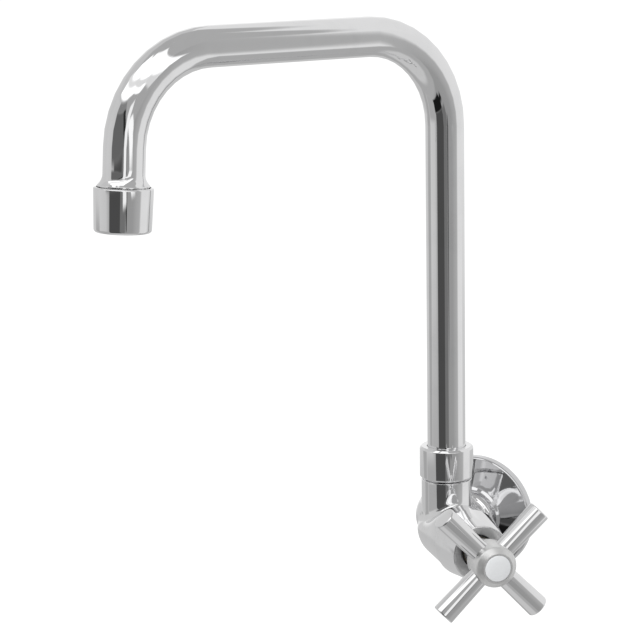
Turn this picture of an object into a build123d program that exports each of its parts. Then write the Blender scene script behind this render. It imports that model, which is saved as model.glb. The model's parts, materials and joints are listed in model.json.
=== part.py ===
"""Commercial wall faucet: swivel spout over a short valve with a cross handle.

Millimetres, +Z up. The origin is where the inlet's axis meets the wall, and the wall is the
plane Y = 0. The faucet stands out from it towards -Y, and its threaded tail goes into it.
"""

from build123d import *
import os
from math import cos, pi, radians, sin

# Layout -------------------------------------------------------------------------------------

wall_to_neck = 37.5          # wall to the axis that the spout swivels on
inlet_drop = 3.4             # inlet axis below the valve axis
valve_angle = 45.0           # valve axis, degrees to the right of straight out from the wall
spout_angle = 26.0           # spout arm, degrees to the left of straight out from the wall

# Clearances ---------------------------------------------------------------------------------

running_gap = 0.06           # radial, round what turns or slides in a bore
seat_gap = 0.02              # radial, round what is screwed, pressed or brazed in
face_gap = 0.1               # between flat faces that move past each other
seal_gap = 0.05              # left round a soft ring that moves with its neighbour

# Spout --------------------------------------------------------------------------------------

tube_d = 19.05
tube_wall = 1.2
arm_rise = 246.5             # valve axis up to the centreline of the spout arm
spout_reach = 174.2          # swivel axis to the corner over the outlet
bend_radius = 44.8
outlet_lean = 3.7            # the outlet leg's lean away from the neck, degrees
outlet_leg = 51.0            # that corner down to the tube's outlet end

cove_height = 8.0            # outlet ferrule: its coved part, under the tube
cove_start = 5.2             # tube's end down to the corner of the cove
cove_radius = 6.0
cove_step = 2.375            # the cove's edge outside the tube's surface
outlet_thread_step = 0.9     # the thread's crest inside the cove's edge
outlet_thread_length = 9.6
outlet_thread_chamfer = 0.6
outlet_spigot_length = 5.0
ferrule_wall = 1.4

aerator_drop = 8.4           # tube's outlet end down to the cap's top edge
aerator_height = 20.1
aerator_wall = 1.3           # the cap's wall at its top edge
aerator_taper = 0.55         # radial, from the cap's top to its bottom
aerator_mouth_gap = 0.3      # radial, round the ferrule's cove
aerator_mouth_depth = 1.6
aerator_edge = 0.8
aerator_lip = 1.6
aerator_lip_step = 1.3       # the lip's bore inside the thread's crest
washer_thickness = 1.8
washer_width = 3.0
insert_flange = 2.0
insert_recess = 0.3          # cap's lower edge up to the insert's face
insert_rim = 1.0             # the insert's wall round its screen
screen_thickness = 0.4
insert_holes_d = 1.9
insert_hole_pitch = 2.75
insert_hole_rings = 3
insert_ring_step = 6         # holes added from one ring to the next

# Neck joint ---------------------------------------------------------------------------------

neck_wall = 3.075            # the neck's wall outside the tube's surface
neck_top = 24.4              # valve axis up to the shoulder under the collar nut
neck_floor = 8.0             # valve axis up to the floor of the neck's bore
neck_thread_step = 0.8       # the thread's crest inside the neck's surface
neck_thread_length = 11.0

nut_gap = 0.6                # the dark line between the nut and the neck's shoulder
nut_step = 0.85              # the nut's surface outside the neck's
nut_height = 16.3
nut_lip = 3.0
nut_hole_gap = 0.875         # radial, round the tube
nut_edge = 1.0
nut_rounding = 0.3
nut_hole_edge = 0.4

tube_foot = 21.0             # valve axis up to the tube's lower end
foot_ferrule_height = 10.6
foot_spigot_length = 8.0
foot_bore_step = 3.025       # the foot ferrule's bore inside the tube's surface
ring_section_d = 1.9         # spout O-rings
ring_groove_width = 2.3
ring_spacing = 4.4
bush_height = 2.6

# Valve body ---------------------------------------------------------------------------------

ball_step = 0.9              # the ball's surface inside the barrel's
ball_rise = 3.6              # the ball's centre above the valve axis
barrel_d = 32.6
barrel_length = 33.0         # swivel axis to the barrel's front face
barrel_start = 4.5           # swivel axis to the centre of the barrel's round back
neck_blend = 14.0            # casting radii, where its forms run into each other
barrel_blend = 6.0
boss_blend = 3.5

waist_step = 5.2             # the waist's surface inside the ball's
waist_end = 15.6             # wall to the waist's back end, where the bead starts
waist_rounding = 1.6
bead_d = 25.4                # round bead on the inlet boss, in the flange's collar
bead_start = 13.6            # wall to the bead's front
bead_end = 3.0               # wall to the bead's back
bead_rounding = 4.2

inlet_thread_d = 20.955      # G 1/2
inlet_thread_length = 16.0
inlet_bore_d = 13.0

chamber_d = 21.4             # the barrel's bore, in front of the seat
chamber_floor = 13.0         # swivel axis to the partition's front face
seat_pocket_depth = 4.0
passage_d = 6.4              # from the chamber up into the neck
passage_rise = 11.3
passage_margin = 2.0         # the passage stops this far behind the headwork
spigot_length = 2.0          # the barrel's collar inside the sleeve
spigot_d = 27.8

# Headwork, along the valve axis -------------------------------------------------------------

seat_d = 14.4
seat_bore_d = 10.0
seat_lip_d = 12.0
seat_lip_height = 0.5

seat_washer_d = 14.0
seat_washer_thickness = 3.0
washer_hole_d = 2.6
jumper_d = 14.6
jumper_thickness = 2.0
jumper_pin_d = 4.2
jumper_pin_length = 7.6
screw_head_d = 7.0
screw_head_height = 1.5
screw_hole_depth = 4.0

gasket_d = 23.8
gasket_thickness = 1.0
hexagon_width = 22.0
hexagon_thickness = 5.0
hexagon_turn_down = 0.5      # radial, off the corners at the free end
headwork_thread_length = 13.0
gland_neck_d = 16.6
gland_neck_length = 4.0
packing_d = 13.0
packing_height = 3.6
packing_floor = 3.6          # hexagon's back face to the packing's floor

gland_nut_width = 19.0
gland_nut_skirt = 3.4
gland_nut_top = 1.6

spindle_thread_d = 12.2
spindle_thread_length = 12.0
spindle_d = 9.0
spline_d = 8.0
spline_length = 15.4
handle_turns = 1.25
thread_pitch = 2.0

# Sleeve -------------------------------------------------------------------------------------

sleeve_back_d = 33.8
sleeve_mouth_d = 27.8
sleeve_bore_d = 27.0
sleeve_length = 19.0
sleeve_edge = 0.5
sleeve_rim = 0.6             # width of the rim, between the side and the dished face
dish_hole_d = 16.6           # in the middle of the dished face, round the stem
dish_depth = 4.2
dish_wall = 1.2
sleeve_seam = 0.2            # the fine line between the barrel and the sleeve

# Cross handle -------------------------------------------------------------------------------

cross_place = 66.4           # swivel axis to the arms' axes
cross_radius = 34.0          # hub's axis to an arm's end face
arm_root_d = 10.1
arm_tip_d = 11.2
arm_tip_edge = 0.7
arm_stud_d = 5.0
arm_stud_length = 4.2
arm_count = 4
arm_start = 44.0             # first arm, degrees round the valve axis from straight up
arm_saddle = 3.0             # the arm's root, inside the hub's surface
arm_stud_root = 2.0          # the stud's root, outside the hub's surface

hub_d = 20.2
hub_back_d = 13.6
hub_back = 15.4              # arms' axes back to the hub's back face
hub_taper_end = 6.0          # arms' axes back to the front of the hub's tapered back
hub_front = 9.8              # arms' axes forward to the hub's front edge
hub_bevel = 2.4
hub_lip = 0.9                # the hub's face round the button
hub_back_edge = 0.8
hub_shoulder = 4.0           # roundings down the hub's side
hub_bevel_rounding = 1.6
hub_lip_rounding = 0.4
hub_recess = 3.6             # arms' axes forward to the recess's floor
button_d = 12.9
button_crown = 0.5
button_wall = 1.2
handle_screw_d = 4.0
handle_screw_head_d = 7.6
handle_screw_head = 2.5
handle_screw_length = 12.0
handle_screw_rounding = 0.8

# Wall flange --------------------------------------------------------------------------------

flange_d = 60.8
flange_sheet = 1.2
flange_rim = 4.6             # depth of the rim's side
flange_rounding = 1.6
flange_crown = 6.6           # wall to the face, at the collar's foot
collar_foot_d = 31.0
flange_collar_d = 28.4
collar_front = 9.4
collar_depth = 4.0
collar_foot_rounding = 1.2
collar_rounding = 0.7

# Worked out from the sizes above ------------------------------------------------------------

tube_r = tube_d / 2
foot_bore_d = tube_d - 2 * foot_bore_step
neck_d = tube_d + 2 * neck_wall
neck_thread_d = neck_d - 2 * neck_thread_step
nut_d = neck_d + 2 * nut_step
nut_hole_d = tube_d + 2 * nut_hole_gap
tube_bore_r = tube_r - tube_wall
neck_bore_r = tube_r + running_gap
stub_top = neck_top + neck_thread_length
nut_base = neck_top + nut_gap
nut_top = nut_base + nut_height
inlet_height = -inlet_drop
ball_d = barrel_d - 2 * ball_step
waist_d = ball_d - 2 * waist_step

cove_d = tube_d + 2 * cove_step
outlet_thread_d = cove_d - 2 * outlet_thread_step
aerator_mouth_d = cove_d + 2 * aerator_mouth_gap
aerator_top_d = aerator_mouth_d + 2 * aerator_wall
aerator_bottom_d = aerator_top_d - 2 * aerator_taper
aerator_lip_d = outlet_thread_d - 2 * aerator_lip_step
thread_start = outlet_leg + cove_height
thread_end = thread_start + outlet_thread_length
aerator_top = outlet_leg + aerator_drop
aerator_end = aerator_top + aerator_height
lip_face = aerator_end - aerator_lip

seat_face = chamber_floor + seat_lip_height
washer_back = seat_face + face_gap
jumper_back = washer_back + seat_washer_thickness
jumper_front = jumper_back + jumper_thickness
spindle_end = jumper_front + face_gap
spindle_lift = handle_turns * thread_pitch
spigot_front = barrel_length + spigot_length
hexagon_back = spigot_front + gasket_thickness
hexagon_front = hexagon_back + hexagon_thickness
headwork_end = hexagon_back - headwork_thread_length
gland_neck_front = hexagon_front + gland_neck_length
packing_base = hexagon_back + packing_floor
packing_front = packing_base + packing_height
gland_nut_face = gland_neck_front + gland_nut_top
sleeve_back = barrel_length + sleeve_seam
sleeve_front = sleeve_back + sleeve_length
dish_floor = sleeve_front - dish_depth

hub_start = cross_place - hub_back
hub_end = cross_place + hub_front
recess_floor = cross_place + hub_recess
spline_start = hub_start - face_gap
spline_end = spline_start + spline_length

# Places -------------------------------------------------------------------------------------


def heading(angle):
    """Level direction, in degrees from straight out of the wall, positive to the right."""
    return Vector(sin(radians(angle)), -cos(radians(angle)), 0)


neck_foot = Vector(0, -wall_to_neck, inlet_drop)
valve_heading = heading(valve_angle)
on_neck = Location(Plane(origin=neck_foot, x_dir=heading(-spout_angle), z_dir=(0, 0, 1)))
on_valve = Location(Plane(origin=neck_foot, x_dir=(0, 0, 1), z_dir=valve_heading))
on_inlet = Location(Plane(origin=(0, 0, 0), x_dir=(1, 0, 0), z_dir=(0, -1, 0)))
outlet_corner = Vector(spout_reach, 0, arm_rise)
outlet_heading = Vector(sin(radians(outlet_lean)), 0, -cos(radians(outlet_lean)))
on_outlet = on_neck * Location(Plane(origin=outlet_corner, x_dir=(0, 1, 0), z_dir=outlet_heading))


# Shared shapes ------------------------------------------------------------------------------


def turned(*corners):
    """Turn a closed outline about Z. A corner is (radius, height) or (radius, height, rounding)."""
    points = [(corner[0], 0, corner[1]) for corner in corners]
    roundings = [corner[2] if len(corner) > 2 else 0 for corner in corners]
    outline = FilletPolyline(*points, radius=roundings, close=True)
    return revolve(make_face(outline), Axis.Z)


def rod(diameter, start, end):
    """Cylinder on Z from one height to another."""
    return Pos(0, 0, start) * Cylinder(
        diameter / 2, end - start, align=(Align.CENTER, Align.CENTER, Align.MIN)
    )


def tapered(start_d, end_d, start, end):
    """Cone on Z from one height to another."""
    return Pos(0, 0, start) * Cone(
        start_d / 2, end_d / 2, end - start, align=(Align.CENTER, Align.CENTER, Align.MIN)
    )


def collar(outer_d, inner_d, start, end):
    """Plain ring on Z."""
    return rod(outer_d, start, end) - rod(inner_d, start, end)


def hexagon(width, start, end):
    """Hexagon bar on Z, with its corners turned down at the free end."""
    bar = Pos(0, 0, start) * extrude(RegularPolygon(width / 2, 6, major_radius=False), end - start)
    corner_d = width / cos(pi / 6)
    turn_down = tapered(corner_d + 2 * (end - start), corner_d - 2 * hexagon_turn_down, start, end)
    return bar & turn_down


def blended(first, second, radius):
    """Two cast forms as one, with a fillet where they meet."""
    joined = first + second
    return fillet(new_edges(first, second, combined=joined), radius)


def save(node, shape):
    """Write one piece, under its own name."""
    export_step(shape, os.path.join("parts", node + ".step"))


# Spout --------------------------------------------------------------------------------------


def spout_tube():
    """One bent tube: up from the neck, across, and down to the outlet."""
    path = FilletPolyline(
        (0, 0, tube_foot),
        (0, 0, arm_rise),
        outlet_corner,
        outlet_corner + outlet_heading * outlet_leg,
        radius=bend_radius,
    )
    start = Plane(origin=(0, 0, tube_foot), z_dir=(0, 0, 1))
    section = Circle(tube_r) - Circle(tube_bore_r)
    return on_neck * sweep(start * section, path)


def spout_ferrule():
    """Turned end inside the tube's foot, grooved for its two rings."""
    base = tube_foot - foot_ferrule_height
    body = rod(tube_d, base, tube_foot)
    body += rod(2 * (tube_bore_r - seat_gap), tube_foot, tube_foot + foot_spigot_length)
    body -= rod(foot_bore_d, base, tube_foot + foot_spigot_length)
    groove_floor_d = 2 * (neck_bore_r - ring_section_d - 2 * seal_gap)
    for height in ring_heights():
        groove = collar(tube_d + 2 * face_gap, groove_floor_d, 0, ring_groove_width)
        body -= Pos(0, 0, height - ring_groove_width / 2) * groove
    return on_neck * body


def ring_heights():
    """Middle heights of the two ring grooves."""
    middle = tube_foot - foot_ferrule_height / 2
    return [middle - ring_spacing / 2, middle + ring_spacing / 2]


def spout_rings():
    """The two O-rings that seal the spout in the neck."""
    ring_r = neck_bore_r - seal_gap - ring_section_d / 2
    ring = Torus(ring_r, ring_section_d / 2)
    return Part() + [on_neck * Pos(0, 0, height) * ring for height in ring_heights()]


def spout_bush():
    """Hard ring that the collar nut traps on top of the neck."""
    start = stub_top + face_gap
    outer_d = neck_thread_d - 2 * seat_gap
    return on_neck * collar(outer_d, tube_d + 2 * seat_gap, start, start + bush_height - face_gap)


def collar_nut():
    """Plain round nut: threaded skirt and an inward lip over the bush."""
    body = turned(
        (nut_hole_d / 2, nut_base),
        (nut_d / 2 - nut_edge, nut_base),
        (nut_d / 2, nut_base + nut_edge, nut_rounding),
        (nut_d / 2, nut_top - nut_edge, nut_rounding),
        (nut_d / 2 - nut_edge, nut_top, nut_rounding),
        (nut_hole_d / 2 + nut_hole_edge, nut_top),
        (nut_hole_d / 2, nut_top - nut_hole_edge),
    )
    thread_bore_d = neck_thread_d + 2 * seat_gap
    body -= rod(thread_bore_d, nut_base, nut_top - nut_lip)
    return on_neck * body


# Outlet -------------------------------------------------------------------------------------


def outlet_ferrule():
    """Coved end under the tube, brazed into it, with the aerator's thread."""
    cove = turned(
        (tube_bore_r - seat_gap, outlet_leg),
        (tube_r, outlet_leg),
        (tube_r, outlet_leg + cove_start, cove_radius),
        (cove_d / 2, outlet_leg + cove_start + cove_d / 2 - tube_r),
        (cove_d / 2, thread_start),
        (tube_bore_r - seat_gap, thread_start),
    )
    thread = rod(outlet_thread_d, thread_start, thread_end)
    thread = chamfer(thread.edges().group_by(Axis.Z)[-1], outlet_thread_chamfer)
    spigot_d = 2 * (tube_bore_r - seat_gap)
    body = cove + thread + rod(spigot_d, outlet_leg - outlet_spigot_length, thread_start)
    return on_outlet * (
        body - rod(spigot_d - 2 * ferrule_wall, outlet_leg - outlet_spigot_length, thread_end)
    )


def aerator_shell():
    """Plain tapered cap, threaded on the ferrule, with a lip that holds the insert."""
    outer = turned(
        (0, aerator_top),
        (aerator_top_d / 2, aerator_top, aerator_edge),
        (aerator_bottom_d / 2, aerator_end, 2 * aerator_edge),
        (0, aerator_end),
    )
    thread_bore_d = outlet_thread_d + 2 * seat_gap
    outer -= rod(aerator_mouth_d, aerator_top, aerator_top + aerator_mouth_depth)
    outer -= rod(thread_bore_d, aerator_top, lip_face)
    return on_outlet * (outer - rod(aerator_lip_d, lip_face, aerator_end))


def aerator_washer():
    """Flat ring between the ferrule's end and the insert."""
    return on_outlet * collar(
        outlet_thread_d - 2 * seat_gap,
        outlet_thread_d - 2 * washer_width,
        thread_end,
        thread_end + washer_thickness,
    )


def aerator_insert():
    """Flow straightener: a flange, and a plug with rings of holes."""
    start = thread_end + washer_thickness
    plug_d = aerator_lip_d - 2 * seat_gap
    flange_d_inside = outlet_thread_d - 2 * seat_gap
    body = rod(flange_d_inside, start, lip_face) + rod(plug_d, lip_face, aerator_end - insert_recess)
    body -= rod(plug_d - 2 * insert_rim, start, start + insert_flange)
    holes = [rod(insert_holes_d, start, aerator_end)]
    for ring in range(1, insert_hole_rings + 1):
        count = insert_ring_step * ring
        for index in range(count):
            spot = Rot(0, 0, 360 * index / count) * Pos(ring * insert_hole_pitch, 0, 0)
            holes.append(spot * holes[0])
    return on_outlet * (body - holes)


def aerator_screen():
    """Fine round screen in the insert's recess."""
    start = thread_end + washer_thickness + insert_flange - screen_thickness
    screen_d = aerator_lip_d - 4 * seat_gap - 2 * insert_rim
    return on_outlet * rod(screen_d, start, start + screen_thickness)


# Valve body ---------------------------------------------------------------------------------


def valve_body():
    """The casting: neck, ball, barrel and inlet, and the waterways through them."""
    neck = on_neck * rod(neck_d, 0, neck_top)
    ball = on_neck * Pos(0, 0, ball_rise) * Sphere(ball_d / 2)
    round_back = on_valve * Pos(0, 0, barrel_start) * Sphere(barrel_d / 2)
    barrel = round_back + on_valve * rod(barrel_d, barrel_start, barrel_length)
    boss = on_inlet * turned(
        (0, wall_to_neck),
        (waist_d / 2, wall_to_neck),
        (waist_d / 2, waist_end, waist_rounding),
        (bead_d / 2, bead_start, bead_rounding),
        (bead_d / 2, bead_end),
        (0, bead_end),
    )
    body = blended(neck, ball, neck_blend)
    body = blended(body, barrel, barrel_blend)
    body = blended(body, boss, boss_blend)
    stub = on_neck * collar(neck_thread_d, 2 * neck_bore_r, neck_top, stub_top)
    spigot = on_valve * rod(spigot_d, barrel_length, spigot_front)
    tail = on_inlet * rod(inlet_thread_d, -inlet_thread_length, bead_end)
    body += [stub, spigot, tail]
    return body - waterways()


def waterways():
    """Inlet bore, seat bore, chamber, and the passage up to the neck."""
    inlet_bore = on_inlet * rod(inlet_bore_d, -inlet_thread_length, wall_to_neck)
    turn = on_neck * Pos(0, 0, inlet_height) * Sphere(inlet_bore_d / 2)
    seat_floor = chamber_floor - seat_pocket_depth
    seat_feed = on_valve * rod(seat_bore_d, 0, seat_floor)
    pocket = on_valve * rod(seat_d, seat_floor, chamber_floor)
    chamber = on_valve * rod(chamber_d, chamber_floor, spigot_front)
    passage = on_valve * Pos(passage_rise, 0, 0) * rod(passage_d, 0, headwork_end - passage_margin)
    neck_bore = on_neck * rod(2 * neck_bore_r, neck_floor, stub_top)
    return [inlet_bore, turn, seat_feed, pocket, chamber, passage, neck_bore]


def valve_seat():
    """Screwed-in ring with the raised lip that the washer closes on."""
    base = chamber_floor - seat_pocket_depth
    ring = collar(seat_d - 2 * seat_gap, seat_bore_d, base, chamber_floor)
    return on_valve * (ring + collar(seat_lip_d, seat_bore_d, chamber_floor, seat_face))


# Headwork -----------------------------------------------------------------------------------


def headwork():
    """Brass bonnet: threaded foot, hexagon, and a neck that holds the packing."""
    body = rod(chamber_d - 2 * seat_gap, headwork_end, hexagon_back)
    body += hexagon(hexagon_width, hexagon_back, hexagon_front)
    body += rod(gland_neck_d, hexagon_front, gland_neck_front)
    thread_top = spindle_end + spindle_thread_length + spindle_lift + face_gap
    body -= rod(spindle_thread_d + 2 * running_gap, headwork_end, thread_top)
    body -= rod(spindle_d + 2 * running_gap, thread_top, packing_base)
    body -= rod(packing_d + 2 * seat_gap, packing_base, gland_neck_front)
    return on_valve * body


def headwork_gasket():
    """Flat ring between the barrel's collar and the hexagon."""
    return on_valve * collar(gasket_d, chamber_d + 2 * seat_gap, spigot_front, hexagon_back)


def spindle_packing():
    """Soft ring round the stem."""
    return on_valve * collar(packing_d, spindle_d + 2 * running_gap, packing_base, packing_front)


def gland_nut():
    """Hexagon cap whose nose presses the packing."""
    skirt_start = gland_neck_front - gland_nut_skirt
    body = hexagon(gland_nut_width, skirt_start, gland_nut_face)
    body -= rod(gland_neck_d + 2 * seat_gap, skirt_start, gland_neck_front)
    body += rod(packing_d - 2 * seat_gap, packing_front, gland_neck_front)
    return on_valve * (body - rod(spindle_d + 2 * running_gap, packing_front, gland_nut_face))


def spindle():
    """Stem: threaded foot with a socket for the jumper, and a toothed end for the hub."""
    thread_end_at = spindle_end + spindle_thread_length
    body = rod(spindle_thread_d, spindle_end, thread_end_at)
    body += rod(spindle_d, thread_end_at, spline_start)
    body += rod(spline_d, spline_start, spline_end)
    socket_d = jumper_pin_d + 2 * running_gap
    body -= rod(socket_d, spindle_end, spindle_end + jumper_pin_length + face_gap)
    tapped_end = recess_floor - handle_screw_length - face_gap
    return on_valve * (body - rod(handle_screw_d + 2 * seat_gap, tapped_end, spline_end))


def jumper():
    """Plate and pin: it carries the washer, and hangs in the spindle's socket."""
    plate = rod(jumper_d, jumper_back, jumper_front)
    pin = rod(jumper_pin_d, jumper_front, jumper_front + jumper_pin_length)
    screw_hole = rod(washer_hole_d, jumper_back, jumper_back + screw_hole_depth)
    return on_valve * (plate + pin - screw_hole)


def seat_washer():
    """Rubber disc with a hole for its screw."""
    return on_valve * collar(seat_washer_d, washer_hole_d, washer_back, jumper_back)


def washer_screw():
    """Round head under the washer, and a shank into the jumper."""
    head = rod(screw_head_d, washer_back - screw_head_height, washer_back)
    shank_d = washer_hole_d - 2 * seat_gap
    return on_valve * (head + rod(shank_d, washer_back, jumper_back + screw_hole_depth - seat_gap))


def bonnet_sleeve():
    """Tapered sleeve on the barrel's collar, with a dished face round the stem."""
    body = turned(
        (sleeve_bore_d / 2, sleeve_back),
        (sleeve_back_d / 2, sleeve_back),
        (sleeve_mouth_d / 2, sleeve_front, sleeve_edge),
        (sleeve_mouth_d / 2 - sleeve_rim, sleeve_front),
        (dish_hole_d / 2, dish_floor, sleeve_edge),
        (dish_hole_d / 2, dish_floor - dish_wall),
        (sleeve_bore_d / 2, dish_floor - dish_wall),
    )
    return on_valve * (body - rod(spigot_d + 2 * seat_gap, sleeve_back, spigot_front + seat_gap))


# Cross handle -------------------------------------------------------------------------------


def handle_hub():
    """Turned hub: tapered back, bevelled front, recess for the screw and button."""
    body = turned(
        (0, hub_start),
        (hub_back_d / 2, hub_start, hub_back_edge),
        (hub_d / 2, cross_place - hub_taper_end, hub_shoulder),
        (hub_d / 2, hub_end - hub_bevel, hub_bevel_rounding),
        (button_d / 2 + hub_lip, hub_end, hub_lip_rounding),
        (0, hub_end),
    )
    body -= rod(spline_d + 2 * seat_gap, hub_start, spline_end + face_gap)
    body -= rod(handle_screw_d + 2 * running_gap, spline_end, recess_floor)
    body -= rod(button_d + 2 * seat_gap, recess_floor, hub_end)
    for turn in arm_turns():
        body -= on_arm(turn) * rod(arm_stud_d + 2 * seat_gap, hub_d / 2 - arm_stud_length, hub_d / 2)
    return on_valve * body


def arm_turns():
    """Angles of the arms about the hub's axis."""
    return [arm_start + 360 * index / arm_count for index in range(arm_count)]


def on_arm(turn):
    """Place on an arm's axis, which starts on the hub's axis and points outwards."""
    outwards = Vector(cos(radians(turn)), sin(radians(turn)), 0)
    return Location(Plane(origin=(0, 0, cross_place), x_dir=(0, 0, 1), z_dir=outwards))


def handle_arm(turn):
    """Tapered arm with a flat end, saddled on the hub and studded into it."""
    arm = tapered(arm_root_d, arm_tip_d, hub_d / 2 - arm_saddle, cross_radius)
    arm = fillet(arm.edges().group_by(Axis.Z)[-1], arm_tip_edge)
    arm = on_arm(turn) * arm - rod(hub_d + 2 * seat_gap, hub_start, hub_end)
    stud_start = hub_d / 2 - arm_stud_length + seat_gap
    return on_valve * (arm + on_arm(turn) * rod(arm_stud_d, stud_start, hub_d / 2 + arm_stud_root))


def handle_screw():
    """Screw that holds the hub on the spindle."""
    head = rod(handle_screw_head_d, recess_floor, recess_floor + handle_screw_head)
    head = fillet(head.edges().group_by(Axis.Z)[-1], handle_screw_rounding)
    shank = rod(handle_screw_d, recess_floor - handle_screw_length, recess_floor)
    return on_valve * (head + shank)


def index_button():
    """Pale round cap with a faint crown, pressed into the hub over the screw's head."""
    cap = rod(button_d, recess_floor, hub_end + button_crown)
    cap = fillet(cap.edges().group_by(Axis.Z)[-1], button_crown)
    return on_valve * (cap - rod(button_d - 2 * button_wall, recess_floor, hub_end - button_wall))


# Wall flange --------------------------------------------------------------------------------


def wall_flange():
    """Round sheet escutcheon: deep rim, low crowned face, raised collar round the boss."""
    sheet = flange_sheet
    hole_r = bead_d / 2 + seat_gap
    return on_inlet * turned(
        (flange_d / 2, 0),
        (flange_d / 2, flange_rim, flange_rounding),
        (collar_foot_d / 2, flange_crown, collar_foot_rounding),
        (flange_collar_d / 2, collar_front, collar_rounding),
        (hole_r, collar_front),
        (hole_r, collar_front - collar_depth),
        (flange_collar_d / 2 - sheet, collar_front - collar_depth),
        (flange_d / 2 - sheet, flange_rim - sheet),
        (flange_d / 2 - sheet, 0),
    )


# Write every piece --------------------------------------------------------------------------

os.makedirs("parts", exist_ok=True)
for piece in (
    spout_tube,
    spout_ferrule,
    spout_rings,
    spout_bush,
    collar_nut,
    outlet_ferrule,
    aerator_shell,
    aerator_washer,
    aerator_insert,
    aerator_screen,
    valve_body,
    valve_seat,
    headwork,
    headwork_gasket,
    spindle_packing,
    gland_nut,
    spindle,
    jumper,
    seat_washer,
    washer_screw,
    bonnet_sleeve,
    handle_hub,
    handle_screw,
    index_button,
    wall_flange,
):
    save(piece.__name__, piece())
for number, turn in enumerate(arm_turns(), start=1):
    save(f"handle_arm_{number}", handle_arm(turn))
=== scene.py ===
"""Looks for a commercial wall faucet: polished, turned and cast pieces, and the studio around it.

The packed model gives the places and the bodies. Lengths are metres, written in millimetres times MM.
"""

import json
from math import acos, cos, pi, radians, sin, tan

import bmesh
import bpy
import numpy as np
from mathutils import Matrix, Vector


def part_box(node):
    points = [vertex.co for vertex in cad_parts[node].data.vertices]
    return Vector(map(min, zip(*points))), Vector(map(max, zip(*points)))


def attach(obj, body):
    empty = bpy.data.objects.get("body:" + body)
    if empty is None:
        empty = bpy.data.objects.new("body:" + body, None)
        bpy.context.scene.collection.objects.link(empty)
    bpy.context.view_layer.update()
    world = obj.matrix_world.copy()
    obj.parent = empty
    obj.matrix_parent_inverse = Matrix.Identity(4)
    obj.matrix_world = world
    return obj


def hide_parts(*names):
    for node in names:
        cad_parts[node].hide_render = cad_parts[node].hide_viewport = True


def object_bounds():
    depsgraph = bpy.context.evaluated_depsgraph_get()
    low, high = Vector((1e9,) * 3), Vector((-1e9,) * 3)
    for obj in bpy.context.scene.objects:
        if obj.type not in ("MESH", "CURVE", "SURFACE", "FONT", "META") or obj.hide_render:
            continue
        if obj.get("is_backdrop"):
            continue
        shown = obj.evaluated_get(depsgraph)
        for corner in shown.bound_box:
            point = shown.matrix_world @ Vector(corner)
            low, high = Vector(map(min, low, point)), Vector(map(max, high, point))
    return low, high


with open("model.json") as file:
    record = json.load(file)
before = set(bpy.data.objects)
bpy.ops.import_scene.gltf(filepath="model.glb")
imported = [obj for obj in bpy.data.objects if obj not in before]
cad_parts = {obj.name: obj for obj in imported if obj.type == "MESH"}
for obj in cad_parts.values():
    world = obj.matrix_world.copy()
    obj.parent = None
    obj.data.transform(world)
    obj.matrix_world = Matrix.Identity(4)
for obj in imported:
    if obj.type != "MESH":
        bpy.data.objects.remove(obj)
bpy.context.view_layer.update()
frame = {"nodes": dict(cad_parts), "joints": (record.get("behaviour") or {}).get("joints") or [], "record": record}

bl_info = {
    "name": "Wall faucet",
    "version": (1, 0, 0),
    "blender": (4, 5, 0),
    "location": "3D View > Sidebar > Faucet",
    "description": "Polished pieces of a commercial wall faucet, and a studio to see them in",
    "category": "Object",
}

UNDOABLE = {"REGISTER", "UNDO"}

MM = 0.001
SHARP_ANGLE = radians(28)        # a fold over this angle is a crisp edge
ARC_STEP = radians(9)            # turn of one facet of a rounded corner
SAME_PLACE = 1e-7                # vertices this close become one
TINY = 1e-9                      # keeps divisors off zero
CRISP = 0.3 * MM                 # rounding of a machined edge
TUBE_COLUMNS = 112
THREAD_DEPTH = 0.58              # share of the pitch
THREAD_ROWS = 10                 # rings of vertices to a turn
THREAD_FLATNESS = 0.8            # under 1 widens the thread's root
END_RING = 1.2 * MM              # length of the turned rings at the casting's ends
BARREL_WALL = 5 * MM             # width of the barrel's turned face
NECK_PITCH = 1.5 * MM
NECK_BORE_FLOOR = 10 * MM        # above the valve's axis
TAIL_START = 5 * MM              # in front of the wall, where the casting ends and the tail starts
INLET_BORE_FLOOR = -30 * MM      # along the tail, which starts below zero too
CASTING_LOW = (-0.0205, -0.0735, -0.0165)    # the box in which the casting's surface is looked for
CASTING_HIGH = (0.0362, -0.0035, 0.0325)

joints = {joint["name"]: joint for joint in frame["joints"]}
neck_foot = Vector(joints["handle_turn"]["pos_m"])
valve_heading = Vector(joints["handle_turn"]["axis"])
upwards = Vector((0, 0, 1))
into_wall = Vector((0, 1, 0))
sideways = Vector((1, 0, 0))


def middle(node):
    """Centre of a node's box."""
    low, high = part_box(node)
    return (low + high) / 2


# Sizes and colours that a user may change --------------------


def size(name, description, millimetres):
    """A length with its name and description."""
    return bpy.props.FloatProperty(
        name=name, description=description, default=millimetres * MM,
        unit="LENGTH", subtype="DISTANCE",
    )


def diameter(of, millimetres):
    """A diameter, named after what it belongs to."""
    return size(f"Diameter: {of}", f"Diameter of the {of}", millimetres)


def rounding(of, millimetres):
    """The radius of a rounded edge or a fillet, named after what it belongs to."""
    return size(f"Rounding: {of}", f"Radius of the rounding of the {of}", millimetres)


def turn(name, description, angle):
    """An angle, given in degrees."""
    return bpy.props.FloatProperty(
        name=name, description=description, default=radians(angle), unit="ROTATION", subtype="ANGLE"
    )


def share(name, description, value):
    """A plain number from 0 to 1."""
    return bpy.props.FloatProperty(name=name, description=description, default=value, min=0, max=1)


def colour(name, description, red, green, blue):
    """A colour, as the renderer's own linear values."""
    return bpy.props.FloatVectorProperty(
        name=name, description=description, default=(red, green, blue), subtype="COLOR", min=0, max=1
    )


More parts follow.
